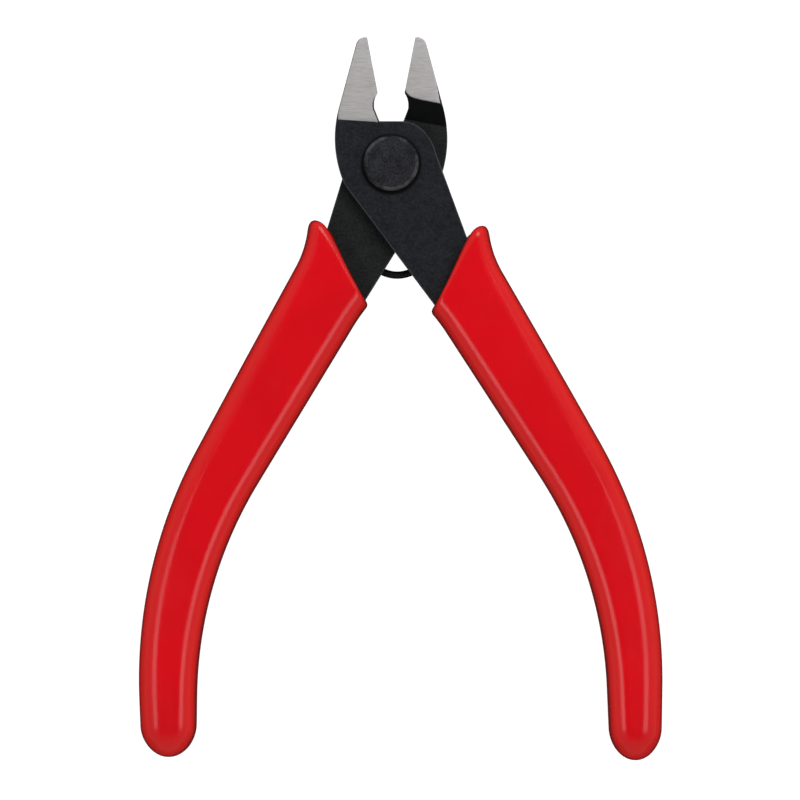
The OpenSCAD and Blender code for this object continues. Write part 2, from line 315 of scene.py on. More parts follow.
class Graph:
    """The nodes of one material or world, all of them made by one method."""

    def __init__(self, owner: bpy.types.Material | bpy.types.World) -> None:
        """Takes over the owner's nodes and clears them."""
        owner.use_nodes = True
        self.tree = owner.node_tree
        self.tree.nodes.clear()

    def node(self, kind: str, settings: dict, inputs: dict, output: str | int = 0) -> Expr:
        """Adds any node.

        Args:
            kind: Blender's type name of the node.
            settings: Its properties, set first, and a ramp's stops as (place, level) pairs.
            inputs: Values or Expr links by socket name or number.
            output: The output socket to return.

        Returns:
            That output as an expression.
        """
        made = self.tree.nodes.new(kind)
        for key, value in settings.items():
            if key == "stops":
                self.lay_stops(made.color_ramp, value)
            else:
                setattr(made, key, value)
        for key, value in inputs.items():
            if isinstance(value, Expr):
                self.tree.links.new(value.socket, made.inputs[key])
            else:
                made.inputs[key].default_value = value
        return Expr(self, made, output)

    def lay_stops(self, ramp: bpy.types.ColorRamp, stops: Sequence[tuple[float, float]]) -> None:
        """Gives a ramp its grey stops, in rising order of place.

        Args:
            ramp: A new ramp, with its first two stops.
            stops: Pairs of a place and a level, both from 0 to 1.
        """
        ramp.elements.remove(ramp.elements[1])
        for k, (place, level) in enumerate(stops):
            stop = ramp.elements.new(place) if k else ramp.elements[0]
            stop.position = place
            stop.color = (level, level, level, 1.0)

    def part(self, vector: Expr, axis: str) -> Expr:
        """One axis of a vector."""
        return self.node("ShaderNodeSeparateXYZ", {}, {0: vector}, axis)


class Shader(Graph):
    """One material under construction, round a single Principled shader."""

    def __init__(self, name: str, **constants: float | tuple[float, ...]) -> None:
        """Starts a material.

        Args:
            name: Its name.
            constants: Values for the Principled shader's own sockets, with _ for each space.
        """
        self.material = bpy.data.materials.new(name)
        super().__init__(self.material)
        inputs = {key.replace("_", " "): value for key, value in constants.items()}
        surface = self.node("ShaderNodeBsdfPrincipled", {}, inputs)
        self.sockets = surface.socket.node.inputs
        self.node("ShaderNodeOutputMaterial", {}, {"Surface": surface})
        self.place = self.node("ShaderNodeTexCoord", {}, {}, "Object")

    def value(self, name: str) -> Expr:
        """Reads a value stored at the piece's points."""
        return self.node("ShaderNodeAttribute", {"attribute_name": name}, {}, "Fac")

    def stretched(self, scale: Colour, turned: float = 0.0) -> Expr:
        """Object coordinates scaled per axis, after a turn in degrees about Z."""
        inputs = {"Vector": self.place, "Scale": scale, "Rotation": (0.0, 0.0, math.radians(turned))}
        return self.node("ShaderNodeMapping", {}, inputs)

    def noise(self, where: Expr, scale: float, detail: float = 3.0, rough: float = 0.5) -> Expr:
        """Noise from 0 to 1 at a place."""
        inputs = {"Vector": where, "Scale": scale, "Detail": detail, "Roughness": rough}
        return self.node("ShaderNodeTexNoise", {"noise_dimensions": "3D"}, inputs)

    def mix(self, share: Expr, first: Colour | Expr, second: Colour | Expr) -> Expr:
        """Colour that goes from first to second with share."""
        ends = [c if isinstance(c, Expr) else (*c, 1.0) for c in (first, second)]
        inputs = {0: share, 6: ends[0], 7: ends[1]}
        return self.node("ShaderNodeMix", {"data_type": "RGBA", "blend_type": "MIX"}, inputs, 2)

    def bump(self, height: Expr, depth: float, strength: float = 1.0) -> Expr:
        """Normal raised by a height from 0 to 1 over a depth in metres."""
        return self.node("ShaderNodeBump", {}, {"Strength": strength, "Distance": depth, "Height": height})

    def feed(self, **sockets: Expr) -> None:
        """Links expressions to the Principled shader's sockets, with _ for each space."""
        for key, value in sockets.items():
            self.tree.links.new(value.socket, self.sockets[key.replace("_", " ")])

    def dress(self, piece: bpy.types.Object) -> None:
        """Gives the material to a piece."""
        piece.data.materials.clear()
        piece.data.materials.append(self.material)


# ---- finishes --------------------------------------------------------------------------------------


@dataclass(frozen=True)
class SteelFinish:
    """Black oxide with bare ground faces, where the piece's "ground" value is 1, and edges lighter from
    wear and a painted edge highlight.

    The piece's "deep" value is 1 on the ramps, where the oxide is painted darker as shade and made rougher.
    A painted shadow also rings the rivet.
    """

    name: str
    oxide: Colour
    ring: float
    # edge colour: wear, and a painted edge highlight
    worn_and_highlit: Colour = (0.070, 0.071, 0.075)
    ground: Colour = (0.49, 0.474, 0.470)
    # painted shade on the ramps and painted shadow round the rivet
    shadow: Colour = (0.0020, 0.0020, 0.0022)
    mark_width: float = 0.12 * MM
    mark_turn: float = 2.0
    band_scale: float = 900.0
    blotch_scale: float = 420.0
    grain_scale: float = 2600.0
    relief: float = 0.006 * MM
    # width and downward offset of the painted shadow round the rivet
    shadow_width: float = 0.75 * MM
    shadow_drop: float = 0.20 * MM

    def rivet_shadow(self, s: Shader) -> Expr:
        """Painted shadow round the rivet's head: 1 at its edge, 0 a ring's width further out.

        Its middle lies a little below the rivet's, so the painted shadow is wider on that side.

        Args:
            s: The material under construction.

        Returns:
            The share of painted shadow.
        """
        x, y = s.part(s.place, "X"), s.part(s.place, "Y") + self.shadow_drop
        away = (x * x + y * y) ** 0.5
        return 1 - away.between(self.ring + 0.35 * self.shadow_width, self.ring + self.shadow_width)

    def build(self) -> Shader:
        """Builds the material: base, metal share and roughness each mix oxide and ground steel.

        Returns:
            The finished material.
        """
        s = Shader(self.name, Specular_IOR_Level=0.10)
        ground, edge, deep = s.value("ground"), s.value("edge"), s.value("deep")
        # long marks across the blade: noise drawn out along X, fine along Y
        marks = s.noise(s.stretched((0.06, 1.0, 0.3), self.mark_turn), 1 / self.mark_width, 3.0, 0.7)
        bands = s.noise(s.stretched((0.08, 1.0, 0.3), self.mark_turn), self.band_scale, 3.0, 0.5)
        blotch = s.noise(s.place, self.blotch_scale, 5.0, 0.65)
        grain = s.noise(s.place, self.grain_scale, 3.0, 0.7)
        patch = (0.35 * blotch + 0.85 * grain).between(0.40, 0.80)
        oxide = s.mix(patch, scaled(self.oxide, 0.50), scaled(self.oxide, 1.6))
        # edges lighter in patches: wear, and a painted edge highlight
        scuffed_and_highlit = (edge * (0.35 + blotch)).between(0.40, 0.95)
        black = s.mix(scuffed_and_highlit * 0.75, oxide, self.worn_and_highlit)
        # painted shade: the ramps and the ring round the rivet are mixed towards the shadow colour
        shaded_black = s.mix(deep * 0.85 | self.rivet_shadow(s), black, self.shadow)
        tone = (marks * 0.8 + bands * 0.25).between(0.30, 0.75)
        bright = s.mix(tone, scaled(self.ground, 0.79), scaled(self.ground, 1.16))
        burred = s.mix(edge * 0.18, bright, scaled(self.ground, 0.45))
        height = ground * marks + (1 - ground) * grain
        s.feed(
            Base_Color=s.mix(ground, shaded_black, burred),
            Metallic=ground,
            Roughness=(1 - ground) * (0.45 + 0.2 * blotch + 0.3 * deep) + ground * (0.34 + 0.14 * marks),
            Normal=s.bump(height, self.relief, 0.6),
        )
        return s


@dataclass(frozen=True)
class RivetFinish:
    """Grainy blackened head with its chamfer painted lighter as a highlight, where the piece's "edge" value
    is 1.
    """

    name: str = "rivet_blackened"
    face: Colour = (0.0185, 0.0190, 0.0230)
    # painted highlight on the chamfer
    rim: Colour = (0.078, 0.078, 0.083)
    grain_scale: float = 2900.0
    cloud_scale: float = 520.0
    relief: float = 0.012 * MM

    def build(self) -> Shader:
        """Builds the material: speckle and pits on the face, a smoother rim painted lighter as a highlight.

        Returns:
            The finished material.
        """
        s = Shader(self.name, Specular_IOR_Level=0.12)
        grain = s.noise(s.place, self.grain_scale, 4.0, 0.75)
        cloud = s.noise(s.place, self.cloud_scale, 3.0, 0.5)
        # painted highlight: the chamfer, broken up by noise, is mixed towards the lighter rim colour
        edge = s.value("edge") * (0.35 + cloud).between(0.70, 1.05)
        tone = (grain * 0.8 + cloud * 0.3).between(0.40, 0.75)
        face = s.mix(tone, scaled(self.face, 0.3), scaled(self.face, 2.1))
        s.feed(
            Base_Color=s.mix(edge, face, self.rim),
            Roughness=0.5 + 0.15 * grain - 0.12 * edge,
            Normal=s.bump(grain, self.relief, 0.7),
        )
        return s


@dataclass(frozen=True)
class WireFinish:
    """Blackened spring wire with fine drawing lines along it, which follow the wire's own map."""

    name: str = "spring_wire_black"
    wire: Colour = (0.0016, 0.0016, 0.0018)
    drawn: Colour = (0.008, 0.008, 0.0085)
    line_scale: tuple[float, float, float] = (3.0, 60.0, 1.0)
    cloud_scale: float = 900.0
    relief: float = 0.006 * MM

    def build(self) -> Shader:
        """Builds the material: lines from noise drawn out along the wire, by its U and V.

        Returns:
            The finished material.
        """
        s = Shader(self.name, Specular_IOR_Level=0.2)
        along = s.node("ShaderNodeUVMap", {"uv_map": "wire"}, {})
        placed = s.node("ShaderNodeMapping", {}, {"Vector": along, "Scale": self.line_scale})
        lines = s.noise(placed, 3.0, 3.0, 0.6)
        cloud = s.noise(s.place, self.cloud_scale, 3.0, 0.5)
        s.feed(
            Base_Color=s.mix((lines * cloud * 2.0).between(0.3, 0.9), self.wire, self.drawn),
            Roughness=0.38 + 0.2 * lines,
            Normal=s.bump(lines, self.relief, 0.5),
        )
        return s


@dataclass(frozen=True)
class SleeveFinish:
    """Gloss red vinyl with peel and scuffs, painted in another tone on its sides, lip and end for light and
    shade, and painted darker as shade at its outline and round its walls' middle.
    """

    name: str
    red: Colour = (0.80, 0.0045, 0.0110)
    # painted light and shade: the tone of the sides, lip and end
    painted_side_tone: Colour = (0.76, 0.0115, 0.0095)
    # painted shade at the outline and in the band round the walls' middle
    line: Colour = (0.13, 0.006, 0.005)
    cloud_scale: float = 70.0
    peel_scale: float = 1500.0
    wear_scale: float = 160.0
    wear_turn: float = 35.0
    relief: float = 0.02 * MM

    def build(self) -> Shader:
        """Builds the material from noise in its frame and the piece's "side" and "seam" values, which place
        painted light and shade.

        Returns:
            The finished material.
        """
        s = Shader(self.name, Specular_IOR_Level=0.36)
        side, seam = s.value("side"), s.value("seam")
        cloud = s.noise(s.place, self.cloud_scale, 3.0, 0.5)
        peel = s.noise(s.place, self.peel_scale, 2.0, 0.5)
        wear = s.noise(s.stretched((1.0, 0.5, 1.0), self.wear_turn), self.wear_scale, 4.0, 0.6)
        handled = wear.between(0.4, 0.75)
        mottled = s.mix(cloud.between(0.3, 0.75), scaled(self.red, 0.95), scaled(self.red, 1.05))
        # painted light and shade: the sides, lip and end turn to the side tone
        side_toned = s.mix(side.between(0.05, 0.8) * (0.75 + 0.4 * cloud), mottled, self.painted_side_tone)
        # painted shade: the skin is painted darker where it turns to stand upright, at its outline
        lying = abs(s.part(s.node("ShaderNodeTexCoord", {}, {}, "Normal"), "Z"))
        rim = (1 - lying.between(0.22, 0.66)) * 0.9
        # painted shade: the outline and the band mix to the dark colour
        s.feed(
            Base_Color=s.mix(rim | seam * 0.85, side_toned, self.line),
            Roughness=0.17 + 0.04 * peel + 0.06 * handled + 0.2 * seam,
            Normal=s.bump(peel, self.relief, 0.12),
        )
        return s


@dataclass(frozen=True)
class FloorFinish:
    """Back-lit white board with a fine tooth."""

    name: str = "white_board"
    white: Colour = (0.20, 0.20, 0.20)
    glow: float = 1.0
    tooth_scale: float = 400.0

    def build(self) -> Shader:
        """Builds the material: a glowing white board that shows next to no shadow.

        Returns:
            The finished material.
        """
        lit = {"Emission_Color": (1.0, 1.0, 1.0, 1.0), "Emission_Strength": self.glow}
        s = Shader(self.name, Specular_IOR_Level=0.1, Roughness=0.9, **lit)
        tooth = s.noise(s.place, self.tooth_scale, 3.0, 0.5)
        s.feed(Base_Color=s.mix(tooth, scaled(self.white, 0.97), self.white))
        return s


# ---- shared sizes ----------------------------------------------------------------------------------


@dataclass(frozen=True)
class Lap:
    """Sizes that both steel halves, the rivet and the spring share."""

    plate: float = 2.5 * MM
    gap: float = 0.04 * MM
    boss: float = 8.0 * MM
    mid_z: float = 4.6 * MM

    @property
    def front_z(self) -> float:
        """Height of the front plate's face."""
        return self.mid_z + self.plate

    @property
    def back_z(self) -> float:
        """Height of the rear plate's back."""
        return self.mid_z - self.plate


@dataclass(frozen=True)
class HandleAxis:
    """The line that a tang and its sleeve follow: straight down, along an arc, and straight again."""

    lean: float
    shift: float
    bend_start: float = 60.1 * MM
    bend_radius: float = 79.0 * MM
    bend_angle: float = 30.5

    def heading(self, s: np.ndarray) -> np.ndarray:
        """Angle in degrees by which the axis has turned at s, from 0 up to the bend's angle."""
        return np.clip(np.degrees((s - self.bend_start) / self.bend_radius), 0.0, self.bend_angle)

    def beside(self, s: np.ndarray, out: np.ndarray) -> np.ndarray:
        """Points beside the axis: where it has got to at s, plus out along its outer normal.

        The bend carries it sideways by r (1 - cos t) and down by r sin t, with t the turn so far, and
        the straight past the bend by its length times the sine and cosine of t.

        Args:
            s: Distances along the axis from the rivet.
            out: Distances to the outer side.

        Returns:
            Points of the half as it is drawn, with x and y last.
        """
        sine, cosine = sine_cosine(self.heading(s))
        past = np.maximum(0.0, s - self.bend_start - self.bend_radius * math.radians(self.bend_angle))
        x = -self.bend_radius * (1 - cosine) - past * sine + out * cosine + self.shift
        y = -np.minimum(s, self.bend_start) - self.bend_radius * sine - past * cosine - out * sine
        return turn(np.stack([x, y], axis=-1), math.radians(self.lean))


# ---- steel halves ----------------------------------------------------------------------------------


@dataclass
class SteelHalf:
    """One forged half: ground jaw, round boss, shank and the tang inside its sleeve."""

    name: str
    node: str
    half: Half
    finish: SteelFinish
    lap: Lap
    axis: HandleAxis
    outer_lean: float
    outer_distance: float
    inner_lean: float
    tang_end: float
    side_fall: float
    side_fall_width: float
    slot: str = "black_steel"
    # jaw: tip, leaning side and the bulge below it
    reach: float = 22.6 * MM
    tip: float = 1.6 * MM
    tip_share: float = 0.4
    jaw_lean: float = 25.0
    jaw_half_width: float = 9.2 * MM
    jaw_bulge: float = 20.0 * MM
    bulge_height: float = 2.4 * MM
    bulge_drop: float = 2.0 * MM
    bulge_levels: tuple[float, float] = (9.0 * MM, 6.6 * MM)
    # notch behind the cutting edge, throat and shoulder
    notch: float = 3.6 * MM
    notch_depth: float = 1.1 * MM
    notch_height: float = 9.9 * MM
    throat: float = 7.35 * MM
    throat_side: float = 0.6 * MM
    throat_fillet: float = 5.0 * MM
    shoulder: float = 8.75 * MM
    # bevel, ground face and ramp
    bevel: float = 28.0
    grind_slope: float = 5.0
    grind_skew: float = 14.4
    grind_height: float = 7.3 * MM
    ramp_foot: float = 8.2 * MM
    ramp_length: float = 4.4 * MM
    ramp_sweep: float = 1.8 * MM
    ramp_sweep_width: float = 0.6 * MM
    ramp_taper: float = 0.05
    # shank and tang
    shank_end: float = 30.0 * MM
    tang_start: float = 38.0 * MM
    tang_width: float = 6.4 * MM
    tang_end_width: float = 4.6 * MM
    # edges, and where the grinding and the oxide fade into each other
    edge_round: float = 0.16 * MM
    blade_round: float = 0.02 * MM
    crease: float = 0.05 * MM
    notch_band: float = 0.32 * MM
    notch_fade: float = 0.1 * MM
    fall_power: float = 1.6
    oxide_lap: float = 0.005 * MM
    corner_inset: tuple[float, float] = (0.08 * MM, 0.36 * MM)
    corner_fade: tuple[float, float] = (0.4 * MM, 0.6 * MM)
    ramp_fade: float = 0.03 * MM
    # points along each stretch, across a face and round an edge
    steps: tuple[int, ...] = (150, 26, 24, 84, 70, 10, 56)
    across: int = 76
    round_steps: int = 4

    def side_line(self, distance: float, lean: float, along: np.ndarray, sign: float) -> np.ndarray:
        """Points on a shank's side: its foot at distance from the axis, plus along times its direction."""
        sine, cosine = sine_cosine(lean)
        out = sign * distance
        return np.stack([out * cosine + along * sine, out * sine - along * cosine], axis=-1)

    def tang_side(self, sign: float) -> np.ndarray:
        """One side of the tang, whose width tapers evenly, and a quarter turn to the middle of its end.

        Args:
            sign: 1 for the outer side and -1 for the inner.

        Returns:
            Points from the shank to the middle of the end.
        """
        stop = self.tang_end - self.tang_end_width / 2
        s = np.linspace(self.tang_start, stop, 60)
        share = (s - self.tang_start) / (stop - self.tang_start)
        width = self.tang_width + (self.tang_end_width - self.tang_width) * share
        sine, cosine = sine_cosine(np.linspace(0.0, 90.0, 14)[1:])
        radius = self.tang_end_width / 2
        end = self.axis.beside(stop + radius * sine, sign * radius * cosine)
        return np.vstack([self.axis.beside(s, sign * width / 2), end])

    def inner_side(self) -> list[np.ndarray]:
        """The side away from the cutting edge, in stretches from the tip to the tang's end.

        Returns:
            Polylines, each of which starts where the one before it stops.
        """
        tip = np.array([-self.tip_share * self.tip, self.reach - self.tip])
        bulge = (self.jaw_bulge - self.jaw_half_width, self.bulge_height)
        start = math.degrees(math.acos(self.tip_share))
        lean = 180 - self.jaw_lean
        stop = 180 + math.degrees(math.asin((self.bulge_height + self.bulge_drop) / self.jaw_bulge))
        # levels on the bulge beside the notch's foot and the throat, to match the outer side's stretches
        rises = (np.array(self.bulge_levels) - self.bulge_height) / self.jaw_bulge
        levels = 180 - np.degrees(np.arcsin(rises))
        blade = np.vstack([arc(tip, self.tip, start, lean, 24), arc(bulge, self.jaw_bulge, lean, lean, 1)])
        shank = self.side_line(self.shoulder, self.inner_lean, np.linspace(0.0, self.shank_end, 30), -1.0)
        tang = self.tang_side(-1.0)
        return [
            blade,
            arc(bulge, self.jaw_bulge, lean, levels[0], 12),
            arc(bulge, self.jaw_bulge, levels[0], levels[1], 12),
            np.vstack([arc(bulge, self.jaw_bulge, levels[1], stop, 30), shank[:1]]),
            shank,
            np.vstack([shank[-1:], tang[:1]]),
            tang,
        ]

    def outer_side(self) -> list[np.ndarray]:
        """The side with the cutting edge, the notch, the throat and the boss, in matching stretches.

        Returns:
            As many polylines as the inner side has.
        """
        opening = OPENING / 2
        top = self.reach - self.tip + self.tip * math.sin(math.acos(self.tip_share))
        notch = (self.notch - self.notch_depth, self.notch_height)
        start = 180 - math.degrees(math.acos(notch[0] / self.notch))
        rise = self.notch * math.sin(math.radians(start))
        # the throat is level once the tool is open; its corner is where the notch's foot line meets it
        foot = np.array([-self.notch_depth, self.notch_height])
        run = np.array([self.notch_depth - self.throat_side, self.throat - self.notch_height])
        level = np.array([math.sin(opening), math.cos(opening)])
        corner = foot + run * (self.throat - foot @ level) / (run @ level)
        inner = self.lap.boss - self.throat_fillet
        low = self.throat - self.throat_fillet
        fillet = turn(np.array([math.sqrt(inner**2 - low**2), low]), -opening)
        leave = math.degrees(math.atan2(fillet[1], fillet[0]))
        join = math.sqrt(self.lap.boss**2 - self.outer_distance**2)
        arrive = self.outer_lean - math.degrees(math.atan2(join, self.outer_distance))
        along = np.linspace(join, self.shank_end, 30)
        shank = self.side_line(self.outer_distance, self.outer_lean, along, 1.0)
        tang = self.tang_side(1.0)
        boss = np.vstack([
            corner[None],
            arc(fillet, self.throat_fillet, 90 - math.degrees(opening), leave, 16),
            arc((0.0, 0.0), self.lap.boss, leave, arrive, 40)[1:],
        ])
        return [
            np.array([[0.0, top], [0.0, self.notch_height + rise]]),
            arc(notch, self.notch, start, 180.0, 16),
            np.vstack([foot[None], corner[None]]),
            boss,
            shank,
            np.vstack([shank[-1:], tang[:1]]),
            tang,
        ]

    def stations(self, stretches: list[np.ndarray]) -> np.ndarray:
        """Spreads each stretch's own number of points along it and joins the stretches."""
        parts = [resample(line, n) for line, n in zip(stretches, self.steps)]
        return np.vstack([parts[0], *(part[1:] for part in parts[1:])])

    def ground_height(self, x: np.ndarray, y: np.ndarray) -> np.ndarray:
        """Height of a ground face: the plate's, less the slope times the way past its skewed start line."""
        sine, cosine = sine_cosine(self.grind_skew)
        past = x * sine + (y - self.grind_height) * cosine
        return self.lap.plate - math.tan(math.radians(self.grind_slope)) * past

    def faces_at(self, side: Side, p: np.ndarray, inset: np.ndarray) -> tuple[np.ndarray, ...]:
        """Distance of one face from the lapping plane, and how much of it is bare ground steel.

        The forged face is the plate's height, less a fall towards the jaw's outer side that grows with
        a power of the nearness. The ground face is a plane, and the lower of the two is what
        stands. On the lapped side a ramp rises from its foot, and is longer close to the edge.

        Args:
            side: Which face.
            p: Points of the outline's inside, x and y last.
            inset: Their distance from the jaw's outer side.

        Returns:
            Heights, the share of ground steel and the share of ramp, both from 0 to 1.
        """
        x, y = p[..., 0], p[..., 1]
        near = np.clip(1 - inset / self.side_fall_width, 0.0, 1.0)
        on_jaw = smooth_step((y - 0.3 * self.throat) / (0.6 * self.throat))
        forged = self.lap.plate - self.side_fall * near**self.fall_power * on_jaw
        ground = self.ground_height(x, y)
        # the grinding stops short of the throat's corner and runs right up to the cutting edge
        inside = (-x - self.corner_inset[0]) / self.corner_fade[0]
        above = (y - self.throat - self.corner_inset[1]) / self.corner_fade[1]
        bare = smooth_step((forged - ground + self.oxide_lap) / (2 * self.oxide_lap))
        bare = bare * smooth_step(np.maximum(inside, above))
        face = soft_lower(forged, ground, self.crease)
        if side is Side.PLATE:
            return face, bare, np.zeros_like(bare)
        sweep = self.ramp_sweep * np.exp(np.minimum(x, 0.0) / self.ramp_sweep_width)
        length = self.ramp_length + sweep + self.ramp_taper * np.minimum(x, 0.0)
        ramp = (y - self.ramp_foot) * self.lap.plate / length
        on_face = smooth_step((ramp - face) / self.ramp_fade)
        height = np.maximum(soft_lower(face, ramp, self.crease), -self.lap.gap / 2)
        return height, bare * on_face, (1 - on_face) * (ramp > -self.lap.gap / 2)

    def ring_half(
        self, side: Side, left: np.ndarray, right: np.ndarray, rounds: np.ndarray, bladed: np.ndarray
    ) -> dict[str, np.ndarray]:
        """One face of every station with its two rounded edges, from the inner side to the outer.

        Along an edge the skin follows a quarter circle: in by r (1 - cos a) and down by r (1 - sin a).
        Between the edges the points stand closer near both, as 0.3 u + 0.35 (1 - cos(pi u)). Behind the
        blade a band along the notch's edge is kept black, not ground.

        Args:
            side: Which face.
            left: Inner side's outline for this face.
            right: Outer side's outline for this face.
            rounds: Radius of the right edge at each station.
            bladed: 1 at the stations along the cutting edge and 0 elsewhere.

        Returns:
            Points as (station, place, 3) and the shares of ground steel, edge and ramp.
        """
        width = np.linalg.norm(right - left, axis=1, keepdims=True)
        left_round = np.minimum(self.edge_round, 0.4 * width)
        right_round = np.minimum(rounds[:, None], 0.4 * width)
        left_in, right_in = left_normals(left), -left_normals(right)
        sine, cosine = sine_cosine(np.linspace(0.0, 90.0, self.round_steps + 1)[:-1])
        even = np.linspace(0.0, 1.0, self.across + 1)
        t = (0.3 * even + 0.7 * (1 - np.cos(np.pi * even)) / 2)[None, :, None]
        inner = left[:, None] + left_in[:, None] * (left_round * (1 - cosine))[..., None]
        outer = right[:, None] + right_in[:, None] * (right_round * (1 - cosine))[..., None]
        start, stop = left + left_in * left_round, right + right_in * right_round
        middle = start[:, None] * (1 - t) + stop[:, None] * t
        flat = np.concatenate([inner, middle, outer[:, ::-1]], axis=1)
        inset = np.linalg.norm(flat - left[:, None], axis=2)
        height, bare, deep = self.faces_at(side, flat, inset)
        from_right = np.linalg.norm(flat - right[:, None], axis=2)
        # behind the blade, a band along the notch's edge is kept black instead of ground
        beside_notch = smooth_step((self.notch_band - from_right) / self.notch_fade)
        bare = bare * (1 - beside_notch * (1 - bladed[:, None]))
        drop = np.zeros_like(height)
        n = self.round_steps
        drop[:, :n] = left_round * (1 - sine)
        drop[:, -n:] = (right_round * (1 - sine))[:, ::-1]
        edge = np.zeros_like(height)
        edge[:, : n + 1] = 1.0
        edge[:, -n - 1:] = 1.0
        points = np.concatenate([flat, (side.value * (height - drop))[..., None]], axis=2)
        return {"points": points, "ground": bare, "edge": edge, "deep": deep}

    def build(self) -> bpy.types.Object:
        """Carries the section from the tip to the tang's end and closes the skin.

        At each station the section runs over the plate face, down the outer wall, back over the lapped
        face and up the inner wall. Along the cutting edge the face opposite the edge is set back by the
        jaw's thickness times the tangent of the bevel.

        Returns:
            The finished object.
        """
        left, right = self.stations(self.inner_side()), self.stations(self.outer_side())
        edge_side = Side.PLATE if self.half is Half.FRONT else Side.LAP
        thick = sum(self.faces_at(side, right, np.full(len(right), 1.0))[0] for side in Side)
        width = np.linalg.norm(right - left, axis=1)
        bladed = smooth_step((right[:, 1] - self.notch_height - 0.25 * self.notch) / (0.45 * self.notch))
        bladed = bladed * (np.abs(right[:, 0]) < self.notch_depth * 1.05)
        back = np.minimum(math.tan(math.radians(self.bevel)) * thick * bladed, 0.75 * width)
        towards = (left - right) / np.maximum(width, MERGE)[:, None]
        set_back = right + towards * back[:, None]
        rounds = self.edge_round + (self.blade_round - self.edge_round) * bladed
        rights = {side: right if side is edge_side else set_back for side in Side}
        top, bottom = (self.ring_half(side, left, rights[side], rounds, bladed) for side in Side)
        ring = {key: np.concatenate([top[key], bottom[key][:, ::-1]], axis=1) for key in top}
        grid = ring.pop("points")
        # the bevel itself is ground bright, the other walls stay black
        wall = top["ground"].shape[1]
        ring["ground"][:, wall - 1: wall + 1] *= bladed[:, None]
        ring["ground"][:, [0, -1]] = 0.0
        placed = stand_open(grid, self.half, self.lap.mid_z)
        piece = Surface.from_rings(placed, ring, caps=False).build(self.name)
        self.finish.build().dress(piece)
        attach(piece, self.half.value)
        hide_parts(self.node)
        return piece


# ---- rivet -----------------------------------------------------------------------------------------


@dataclass
class Rivet:
    """The pivot: a shank through both halves, a flat chamfered head and a formed tail."""

    lap: Lap
    finish: RivetFinish
    name: str = "pivot_rivet_turned"
    node: str = "pivot_rivet"
    slot: str = "rivet_steel"
    shank: float = 3.0 * MM
    clearance: float = 0.05 * MM
    head: float = 4.8 * MM
    head_height: float = 1.2 * MM
    tail: float = 4.0 * MM
    tail_height: float = 1.1 * MM
    chamfer: float = 0.35 * MM
    soften: float = 0.07 * MM
    around: int = 160

    def rounded_corner(self, before: np.ndarray, corner: np.ndarray, after: np.ndarray) -> np.ndarray:
        """Rounds a profile's corner with a curve between points a softening away, pulled to the corner.

        Args:
            before: The profile's point before the corner.
            corner: The corner.
            after: The point after it.

        Returns:
            Points (1-t)^2 a + 2t(1-t) corner + t^2 b, from a to b.
        """
        a = corner + (before - corner) / np.linalg.norm(before - corner) * self.soften
        b = corner + (after - corner) / np.linalg.norm(after - corner) * self.soften
        t = np.linspace(0.0, 1.0, 5)[:, None]
        return (1 - t) ** 2 * a + 2 * t * (1 - t) * corner + t**2 * b

    def profile(self) -> tuple[np.ndarray, np.ndarray]:
        """Radius and height from the tail's middle to the head's, with the share of chamfer at each.

        Returns:
            The profile's points, and 1 where they lie on a chamfer and 0 elsewhere.
        """
        low = self.lap.back_z - self.clearance
        high = self.lap.front_z
        corners = np.array([
            [0.0, low - self.tail_height], [self.tail - self.chamfer, low - self.tail_height],
            [self.tail, low - self.tail_height + self.chamfer], [self.tail, low], [self.shank, low],
            [self.shank, high], [self.head, high], [self.head, high + self.head_height - self.chamfer],
            [self.head - self.chamfer, high + self.head_height], [0.0, high + self.head_height],
        ])
        rounded = [self.rounded_corner(*corners[i - 1: i + 2]) for i in range(1, len(corners) - 1)]
        tail_face = np.linspace(corners[0], rounded[0][0], 14)[:-1]
        head_face = np.linspace(rounded[-1][-1], corners[-1], 18)[1:]
        line = np.vstack([tail_face, *rounded, head_face])
        line[0, 0] = line[-1, 0] = 0.0
        radius, height = line.T
        rim = self.chamfer + self.soften
        top = (radius > self.head - rim) & (height > high + 0.4 * self.head_height)
        base = (radius > self.tail - rim) & (height < low - 0.5 * self.tail_height)
        return line, (top | base).astype(float)

    def build(self) -> bpy.types.Object:
        """Turns the profile about the axis: (r cos a, r sin a, z) for even angles a.

        Returns:
            The finished object.
        """
        line, edge = self.profile()
        a = np.linspace(0.0, 2 * np.pi, self.around, endpoint=False)
        r, z = line[:, :1], line[:, 1:]
        grid = np.stack([r * np.cos(a), r * np.sin(a), np.broadcast_to(z, (len(line), len(a)))], axis=2)
        values = {"edge": np.repeat(edge[:, None], self.around, axis=1)}
        piece = Surface.from_rings(grid, values, caps=False).build(self.name)
        self.finish.build().dress(piece)
        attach(piece, Half.FRONT.value)
        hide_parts(self.node)
        return piece


# ---- spring ----------------------------------------------------------------------------------------


